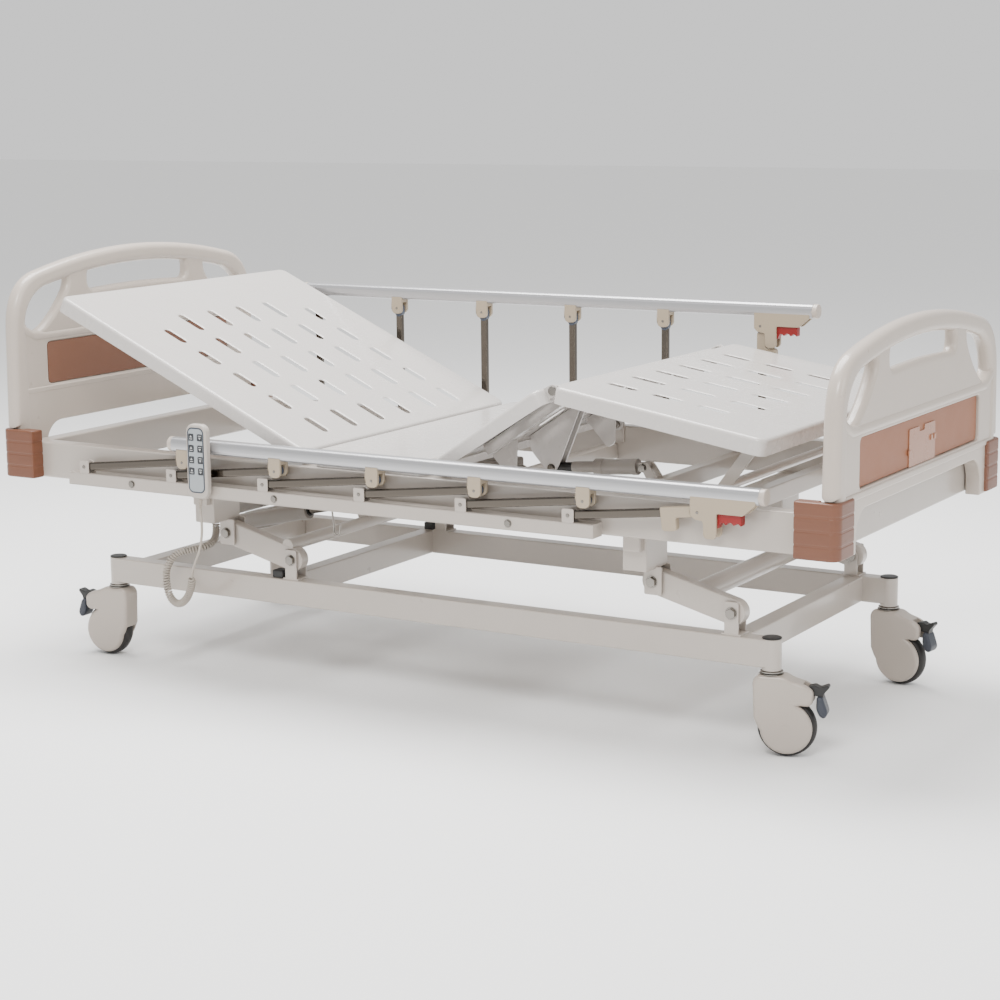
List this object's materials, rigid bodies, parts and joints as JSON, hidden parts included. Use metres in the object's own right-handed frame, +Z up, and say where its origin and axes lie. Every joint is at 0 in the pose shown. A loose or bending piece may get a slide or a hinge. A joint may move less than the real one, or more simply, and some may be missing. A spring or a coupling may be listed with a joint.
{
  "type": "adjustable hospital bed",
  "caption": "Electric hospital bed with raised back and knee sections, folding side rails, lift arms, swivel casters and corded handset.",
  "frame": {"origin": "on the floor, under the middle of the bed's outer box", "axes": "+X from the head end to the foot end, +Y to the patient's left, +Z up"},
  "size_m": [2.17, 1.0211, 0.9871],
  "materials": {
    "frame_paint": "gloss powder coat",
    "deck_paint": "gloss powder coat",
    "board_plastic": "satin moulded plastic",
    "bumper_plastic": "moulded plastic",
    "rail_aluminium": "satin anodised",
    "stainless": "polished stainless",
    "lever_red": "gloss moulded plastic",
    "caster_plastic": "gloss moulded plastic",
    "tyre_rubber": "grey-black rubber",
    "pedal_plastic": "moulded plastic",
    "handset_plastic": "satin moulded plastic",
    "key_rubber": "matt rubber",
    "cord_rubber": "satin cord jacket"
  },
  "bodies": {
    "base_frame": {"base_frame": "frame_paint"},
    "caster_head_right_fork": {"caster_head_right_fork": "caster_plastic"},
    "caster_head_right_wheel": {"caster_head_right_wheel": "tyre_rubber"},
    "caster_head_right_pedal": {"caster_head_right_pedal": "pedal_plastic"},
    "caster_head_left_fork": {"caster_head_left_fork": "caster_plastic"},
    "caster_head_left_wheel": {"caster_head_left_wheel": "tyre_rubber"},
    "caster_head_left_pedal": {"caster_head_left_pedal": "pedal_plastic"},
    "caster_foot_right_fork": {"caster_foot_right_fork": "caster_plastic"},
    "caster_foot_right_wheel": {"caster_foot_right_wheel": "tyre_rubber"},
    "caster_foot_right_pedal": {"caster_foot_right_pedal": "pedal_plastic"},
    "caster_foot_left_fork": {"caster_foot_left_fork": "caster_plastic"},
    "caster_foot_left_wheel": {"caster_foot_left_wheel": "tyre_rubber"},
    "caster_foot_left_pedal": {"caster_foot_left_pedal": "pedal_plastic"},
    "head_lift_arm": {"head_lift_arm": "frame_paint"},
    "foot_lift_arm": {"foot_lift_arm": "frame_paint"},
    "upper_frame": {"upper_frame": "frame_paint", "seat_panel": "deck_paint", "headboard": "board_plastic", "footboard": "board_plastic", "handset": "handset_plastic", "handset_cord_straight": "cord_rubber", "handset_cord_coil": "cord_rubber", "bumper_head_right": "bumper_plastic", "bumper_head_left": "bumper_plastic", "bumper_foot_right": "bumper_plastic", "bumper_foot_left": "bumper_plastic"},
    "hilo_actuator_body": {"hilo_actuator_body": "handset_plastic"},
    "hilo_actuator_rod": {"hilo_actuator_rod": "stainless"},
    "back_section": {"back_section": "deck_paint"},
    "thigh_section": {"thigh_section": "deck_paint"},
    "calf_section": {"calf_section": "deck_paint"},
    "calf_link": {"calf_link": "frame_paint"},
    "back_actuator_body": {"back_actuator_body": "handset_plastic"},
    "back_actuator_rod": {"back_actuator_rod": "stainless"},
    "knee_actuator_body": {"knee_actuator_body": "handset_plastic"},
    "knee_actuator_rod": {"knee_actuator_rod": "stainless"},
    "rail_right_post_1": {"rail_right_post_1": "stainless"},
    "rail_right_post_2": {"rail_right_post_2": "stainless"},
    "rail_right_post_3": {"rail_right_post_3": "stainless"},
    "rail_right_post_4": {"rail_right_post_4": "stainless"},
    "rail_right_post_5": {"rail_right_post_5": "stainless"},
    "rail_right_latch_post": {"rail_right_latch_post": "stainless"},
    "rail_right_tube": {"rail_right_tube": "rail_aluminium"},
    "rail_right_latch_lever": {"rail_right_latch_lever": "lever_red"},
    "rail_left_post_1": {"rail_left_post_1": "stainless"},
    "rail_left_post_2": {"rail_left_post_2": "stainless"},
    "rail_left_post_3": {"rail_left_post_3": "stainless"},
    "rail_left_post_4": {"rail_left_post_4": "stainless"},
    "rail_left_post_5": {"rail_left_post_5": "stainless"},
    "rail_left_latch_post": {"rail_left_latch_post": "stainless"},
    "rail_left_tube": {"rail_left_tube": "rail_aluminium"},
    "rail_left_latch_lever": {"rail_left_latch_lever": "lever_red"},
    "handset_key_1": {"handset_key_1": "key_rubber"},
    "handset_key_2": {"handset_key_2": "key_rubber"},
    "handset_key_3": {"handset_key_3": "key_rubber"},
    "handset_key_4": {"handset_key_4": "key_rubber"},
    "handset_key_5": {"handset_key_5": "key_rubber"},
    "handset_key_6": {"handset_key_6": "key_rubber"},
    "handset_key_7": {"handset_key_7": "key_rubber"},
    "handset_key_8": {"handset_key_8": "key_rubber"}
  },
  "joints": [
    {"name": "caster_head_right_swivel", "type": "hinge", "parent": "base_frame", "child": "caster_head_right_fork", "pos_m": [-0.866, -0.332, 0.18], "axis": [0, 0, 1], "continuous": true},
    {"name": "caster_head_right_roll", "type": "hinge", "parent": "caster_head_right_fork", "child": "caster_head_right_wheel", "pos_m": [-0.89998, -0.33319, 0.0625], "axis": [0.0349, -0.9994, 0], "continuous": true},
    {"name": "caster_head_right_brake", "type": "hinge", "parent": "caster_head_right_fork", "child": "caster_head_right_pedal", "pos_m": [-0.95095, -0.33497, 0.143], "axis": [0.0349, -0.9994, 0], "range_deg": [0, 12]},
    {"name": "caster_head_left_swivel", "type": "hinge", "parent": "base_frame", "child": "caster_head_left_fork", "pos_m": [-0.866, 0.332, 0.18], "axis": [0, 0, 1], "continuous": true},
    {"name": "caster_head_left_roll", "type": "hinge", "parent": "caster_head_left_fork", "child": "caster_head_left_wheel", "pos_m": [-0.883, 0.36144, 0.0625], "axis": [-0.866, -0.5, 0], "continuous": true},
    {"name": "caster_head_left_brake", "type": "hinge", "parent": "caster_head_left_fork", "child": "caster_head_left_pedal", "pos_m": [-0.9085, 0.40561, 0.143], "axis": [-0.866, -0.5, 0], "range_deg": [0, 12]},
    {"name": "caster_foot_right_swivel", "type": "hinge", "parent": "base_frame", "child": "caster_foot_right_fork", "pos_m": [0.88, -0.332, 0.18], "axis": [0, 0, 1], "continuous": true},
    {"name": "caster_foot_right_roll", "type": "hinge", "parent": "caster_foot_right_fork", "child": "caster_foot_right_wheel", "pos_m": [0.91299, -0.32377, 0.0625], "axis": [-0.2419, 0.9703, 0], "continuous": true},
    {"name": "caster_foot_right_brake", "type": "hinge", "parent": "caster_foot_right_fork", "child": "caster_foot_right_pedal", "pos_m": [0.96248, -0.31144, 0.143], "axis": [-0.2419, 0.9703, 0], "range_deg": [0, 12]},
    {"name": "caster_foot_left_swivel", "type": "hinge", "parent": "base_frame", "child": "caster_foot_left_fork", "pos_m": [0.88, 0.332, 0.18], "axis": [0, 0, 1], "continuous": true},
    {"name": "caster_foot_left_roll", "type": "hinge", "parent": "caster_foot_left_fork", "child": "caster_foot_left_wheel", "pos_m": [0.91375, 0.32786, 0.0625], "axis": [0.1219, 0.9925, 0], "continuous": true},
    {"name": "caster_foot_left_brake", "type": "hinge", "parent": "caster_foot_left_fork", "child": "caster_foot_left_pedal", "pos_m": [0.96437, 0.32164, 0.143], "axis": [0.1219, 0.9925, 0], "range_deg": [0, 12]},
    {"name": "bed_lift", "type": "hinge", "parent": "base_frame", "child": "head_lift_arm", "pos_m": [-0.333, 0, 0.294], "axis": [0, 1, 0], "range_deg": [-8, 55]},
    {"name": "foot_arm_pivot", "type": "hinge", "parent": "base_frame", "child": "foot_lift_arm", "pos_m": [0.794, 0, 0.294], "axis": [0, 1, 0], "range_deg": [-9, 56]},
    {"name": "upper_frame_pivot", "type": "hinge", "parent": "head_lift_arm", "child": "upper_frame", "pos_m": [-0.517, 0, 0.342], "axis": [0, 1, 0], "range_deg": [-56, 9]},
    {"name": "hilo_actuator_pivot", "type": "hinge", "parent": "base_frame", "child": "hilo_actuator_body", "pos_m": [-0.755, 0, 0.285], "axis": [0, 1, 0], "range_deg": [-0.86, 2.98]},
    {"name": "hilo_actuator_slide", "type": "slide", "parent": "hilo_actuator_body", "child": "hilo_actuator_rod", "axis": [0.9754, 0, 0.2203], "range_m": [-0.01181, 0.07825]},
    {"name": "back_raise", "type": "hinge", "parent": "upper_frame", "child": "back_section", "pos_m": [-0.231, 0, 0.545], "axis": [0, 1, 0], "range_deg": [-24.7, 50.3]},
    {"name": "back_actuator_pivot", "type": "hinge", "parent": "upper_frame", "child": "back_actuator_body", "pos_m": [0.078, 0, 0.486], "axis": [0, 1, 0], "range_deg": [-0.6, 0.7]},
    {"name": "back_actuator_slide", "type": "slide", "parent": "back_actuator_body", "child": "back_actuator_rod", "axis": [-0.9999, 0, -0.0149], "range_m": [-0.0268, 0.05405]},
    {"name": "knee_raise", "type": "hinge", "parent": "upper_frame", "child": "thigh_section", "pos_m": [0.134, 0, 0.545], "axis": [0, -1, 0], "range_deg": [-33.5, 6.5]},
    {"name": "knee_actuator_pivot", "type": "hinge", "parent": "upper_frame", "child": "knee_actuator_body", "pos_m": [0.417, 0, 0.521], "axis": [0, 1, 0], "range_deg": [-4.27, 1.23]},
    {"name": "knee_actuator_slide", "type": "slide", "parent": "knee_actuator_body", "child": "knee_actuator_rod", "axis": [-0.9968, 0, -0.0804], "range_m": [-0.00674, 0.03266]},
    {"name": "calf_hinge", "type": "hinge", "parent": "thigh_section", "child": "calf_section", "pos_m": [0.40757, 0, 0.74406], "axis": [0, -1, 0], "range_deg": [-9.33, 43.91]},
    {"name": "calf_link_pivot", "type": "hinge", "parent": "upper_frame", "child": "calf_link", "pos_m": [0.74, 0, 0.49], "axis": [0, -1, 0], "range_deg": [-39.63, 8.49]},
    {"name": "rail_right_fold", "type": "hinge", "parent": "upper_frame", "child": "rail_right_post_1", "pos_m": [-0.8235, -0.482, 0.498], "axis": [0, -1, 0], "range_deg": [0, 83.6]},
    {"name": "rail_right_post_2_pivot", "type": "hinge", "parent": "upper_frame", "child": "rail_right_post_2", "pos_m": [-0.5615, -0.482, 0.498], "axis": [0, -1, 0], "range_deg": [-1, 84.6]},
    {"name": "rail_right_post_3_pivot", "type": "hinge", "parent": "upper_frame", "child": "rail_right_post_3", "pos_m": [-0.2995, -0.482, 0.498], "axis": [0, -1, 0], "range_deg": [-1, 84.6]},
    {"name": "rail_right_post_4_pivot", "type": "hinge", "parent": "upper_frame", "child": "rail_right_post_4", "pos_m": [-0.0375, -0.482, 0.498], "axis": [0, -1, 0], "range_deg": [-1, 84.6]},
    {"name": "rail_right_post_5_pivot", "type": "hinge", "parent": "upper_frame", "child": "rail_right_post_5", "pos_m": [0.2245, -0.482, 0.498], "axis": [0, -1, 0], "range_deg": [-1, 84.6]},
    {"name": "rail_right_latch_post_pivot", "type": "hinge", "parent": "upper_frame", "child": "rail_right_latch_post", "pos_m": [0.4865, -0.482, 0.498], "axis": [0, -1, 0], "range_deg": [-1, 84.6]},
    {"name": "rail_right_tube_pivot", "type": "hinge", "parent": "rail_right_post_1", "child": "rail_right_tube", "pos_m": [-0.52338, -0.482, 0.53166], "axis": [0, -1, 0], "range_deg": [-84.6, 1]},
    {"name": "rail_right_latch", "type": "hinge", "parent": "rail_right_tube", "child": "rail_right_latch_lever", "pos_m": [0.84662, -0.4815, 0.53566], "axis": [0, 1, 0], "range_deg": [-10, 0], "stiffness_Nm_per_rad": 0.5, "springref_deg": 3},
    {"name": "rail_left_fold", "type": "hinge", "parent": "upper_frame", "child": "rail_left_post_1", "pos_m": [-0.8235, 0.482, 0.498], "axis": [0, -1, 0], "range_deg": [-83.6, 0]},
    {"name": "rail_left_post_2_pivot", "type": "hinge", "parent": "upper_frame", "child": "rail_left_post_2", "pos_m": [-0.5615, 0.482, 0.498], "axis": [0, -1, 0], "range_deg": [-84.6, 1]},
    {"name": "rail_left_post_3_pivot", "type": "hinge", "parent": "upper_frame", "child": "rail_left_post_3", "pos_m": [-0.2995, 0.482, 0.498], "axis": [0, -1, 0], "range_deg": [-84.6, 1]},
    {"name": "rail_left_post_4_pivot", "type": "hinge", "parent": "upper_frame", "child": "rail_left_post_4", "pos_m": [-0.0375, 0.482, 0.498], "axis": [0, -1, 0], "range_deg": [-84.6, 1]},
    {"name": "rail_left_post_5_pivot", "type": "hinge", "parent": "upper_frame", "child": "rail_left_post_5", "pos_m": [0.2245, 0.482, 0.498], "axis": [0, -1, 0], "range_deg": [-84.6, 1]},
    {"name": "rail_left_latch_post_pivot", "type": "hinge", "parent": "upper_frame", "child": "rail_left_latch_post", "pos_m": [0.4865, 0.482, 0.498], "axis": [0, -1, 0], "range_deg": [-84.6, 1]},
    {"name": "rail_left_tube_pivot", "type": "hinge", "parent": "rail_left_post_1", "child": "rail_left_tube", "pos_m": [-0.8235, 0.482, 0.8], "axis": [0, -1, 0], "range_deg": [-1, 84.6]},
    {"name": "rail_left_latch", "type": "hinge", "parent": "rail_left_tube", "child": "rail_left_latch_lever", "pos_m": [0.5465, 0.4815, 0.804], "axis": [0, 1, 0], "range_deg": [-10, 0], "stiffness_Nm_per_rad": 0.5, "springref_deg": 3},
    {"name": "handset_key_1_press", "type": "slide", "parent": "upper_frame", "child": "handset_key_1", "axis": [0, 1, 0], "range_m": [0, 0.0008], "stiffness_N_per_m": 300, "springref_m": -0.0004},
    {"name": "handset_key_2_press", "type": "slide", "parent": "upper_frame", "child": "handset_key_2", "axis": [0, 1, 0], "range_m": [0, 0.0008], "stiffness_N_per_m": 300, "springref_m": -0.0004},
    {"name": "handset_key_3_press", "type": "slide", "parent": "upper_frame", "child": "handset_key_3", "axis": [0, 1, 0], "range_m": [0, 0.0008], "stiffness_N_per_m": 300, "springref_m": -0.0004},
    {"name": "handset_key_4_press", "type": "slide", "parent": "upper_frame", "child": "handset_key_4", "axis": [0, 1, 0], "range_m": [0, 0.0008], "stiffness_N_per_m": 300, "springref_m": -0.0004},
    {"name": "handset_key_5_press", "type": "slide", "parent": "upper_frame", "child": "handset_key_5", "axis": [0, 1, 0], "range_m": [0, 0.0008], "stiffness_N_per_m": 300, "springref_m": -0.0004},
    {"name": "handset_key_6_press", "type": "slide", "parent": "upper_frame", "child": "handset_key_6", "axis": [0, 1, 0], "range_m": [0, 0.0008], "stiffness_N_per_m": 300, "springref_m": -0.0004},
    {"name": "handset_key_7_press", "type": "slide", "parent": "upper_frame", "child": "handset_key_7", "axis": [0, 1, 0], "range_m": [0, 0.0008], "stiffness_N_per_m": 300, "springref_m": -0.0004},
    {"name": "handset_key_8_press", "type": "slide", "parent": "upper_frame", "child": "handset_key_8", "axis": [0, 1, 0], "range_m": [0, 0.0008], "stiffness_N_per_m": 300, "springref_m": -0.0004}
  ],
  "couplings": [
    {"joint": "foot_arm_pivot", "follows": "bed_lift", "ratio": 1},
    {"joint": "upper_frame_pivot", "follows": "bed_lift", "ratio": -1},
    {"joint": "hilo_actuator_pivot", "follows": "bed_lift", "ratio": 0.045},
    {"joint": "hilo_actuator_slide", "follows": "bed_lift", "m_per_rad": 0.081},
    {"joint": "back_actuator_pivot", "follows": "back_raise", "ratio": 0.004},
    {"joint": "back_actuator_slide", "follows": "back_raise", "m_per_rad": 0.061},
    {"joint": "knee_actuator_pivot", "follows": "knee_raise", "ratio": 0.1125},
    {"joint": "knee_actuator_slide", "follows": "knee_raise", "m_per_rad": -0.055},
    {"joint": "calf_hinge", "follows": "knee_raise", "ratio": -1.281},
    {"joint": "calf_link_pivot", "follows": "knee_raise", "ratio": 1.153},
    {"joint": "rail_right_post_2_pivot", "follows": "rail_right_fold", "ratio": 1},
    {"joint": "rail_right_post_3_pivot", "follows": "rail_right_fold", "ratio": 1},
    {"joint": "rail_right_post_4_pivot", "follows": "rail_right_fold", "ratio": 1},
    {"joint": "rail_right_post_5_pivot", "follows": "rail_right_fold", "ratio": 1},
    {"joint": "rail_right_latch_post_pivot", "follows": "rail_right_fold", "ratio": 1},
    {"joint": "rail_right_tube_pivot", "follows": "rail_right_fold", "ratio": -1},
    {"joint": "rail_left_post_2_pivot", "follows": "rail_left_fold", "ratio": 1},
    {"joint": "rail_left_post_3_pivot", "follows": "rail_left_fold", "ratio": 1},
    {"joint": "rail_left_post_4_pivot", "follows": "rail_left_fold", "ratio": 1},
    {"joint": "rail_left_post_5_pivot", "follows": "rail_left_fold", "ratio": 1},
    {"joint": "rail_left_latch_post_pivot", "follows": "rail_left_fold", "ratio": 1},
    {"joint": "rail_left_tube_pivot", "follows": "rail_left_fold", "ratio": -1}
  ]
}
